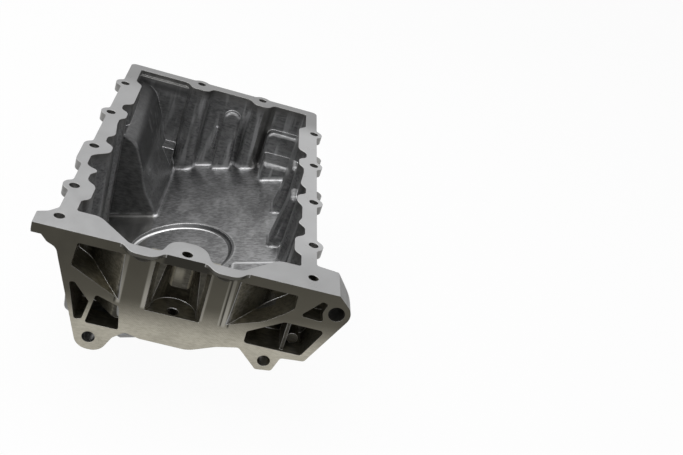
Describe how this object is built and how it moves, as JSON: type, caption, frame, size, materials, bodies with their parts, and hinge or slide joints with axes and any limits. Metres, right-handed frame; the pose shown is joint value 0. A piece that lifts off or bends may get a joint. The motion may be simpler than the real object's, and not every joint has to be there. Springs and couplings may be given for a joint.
{
  "type": "engine oil pan",
  "caption": "Cast aluminium engine oil pan: scalloped gasket rail, deep sump with a sloped floor, pocketed gearbox-end face, ears, lug and drain plug.",
  "frame": {"origin": "on the gasket face, midway between the two front corner bolts", "axes": "+Z out of the gasket face towards the engine, +Y along the pan away from the gearbox end, +X to the side with the lug"},
  "size_m": [0.2642, 0.3939, 0.1373],
  "materials": {
    "cast_aluminium": "die-cast skin, light machined gasket rail and end face",
    "washer_aluminium": "flat stamped ring",
    "plug_steel": "zinc-plated steel"
  },
  "bodies": {
    "root": {"pan_casting": "cast_aluminium", "drain_washer": "washer_aluminium", "drain_plug": "plug_steel"}
  },
  "joints": []
}
